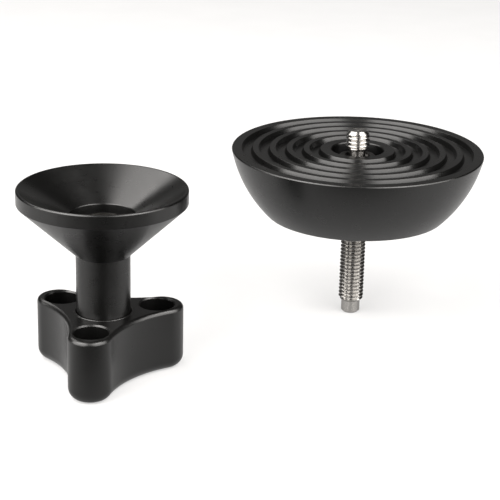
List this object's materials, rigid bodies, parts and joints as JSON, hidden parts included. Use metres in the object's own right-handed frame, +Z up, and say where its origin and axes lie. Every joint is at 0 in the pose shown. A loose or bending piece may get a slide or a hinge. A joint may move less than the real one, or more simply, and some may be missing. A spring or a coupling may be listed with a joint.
{
  "type": "half ball adapter",
  "caption": "Half ball with a grooved platform, camera screw and long threaded stud, beside its conical clamp cup on a lobed tie-down knob.",
  "frame": {"origin": "middle of the space the two halves take up, on the surface they stand on", "axes": "+X from the tie-down towards the half ball, +Y away from the camera, +Z up along both turning axes"},
  "size_m": [0.1723, 0.1445, 0.0751],
  "materials": {
    "black_anodised": "bead-blasted, black anodised",
    "black_steel": "black oxide",
    "stainless": "turned, bright",
    "black_acetal": "turned, satin"
  },
  "bodies": {
    "tie_down": {"tie_down_knob": "black_anodised", "spindle": "black_steel", "thread_insert": "stainless", "upper_thrust_washer": "black_acetal", "lower_thrust_washer": "black_acetal", "circlip": "black_steel", "base_washer": "black_steel", "base_screw": "black_steel", "knob_grub_screw": "black_steel"},
    "cup": {"clamp_cup": "black_anodised"},
    "ball": {"half_ball": "black_anodised", "stud_bush": "black_steel"},
    "washer": {"stud_washer": "black_steel"},
    "stud": {"tripod_stud": "stainless"}
  },
  "joints": [
    {"name": "cup_swivel", "type": "hinge", "parent": "tie_down", "child": "cup", "pos_m": [-0.05582, -0.04197, 0.04], "axis": [0, 0, 1], "continuous": true},
    {"name": "half_ball_carry", "type": "slide", "parent": "tie_down", "child": "ball", "axis": [-0.6037, -0.4239, 0.6751], "range_m": [0, 0.15404]},
    {"name": "stud_float", "type": "slide", "parent": "ball", "child": "washer", "axis": [0, 0, 1], "range_m": [-0.0018, 0]},
    {"name": "stud_spin", "type": "hinge", "parent": "washer", "child": "stud", "pos_m": [0.03718, 0.02333, 0.04], "axis": [0, 0, 1], "continuous": true}
  ]
}
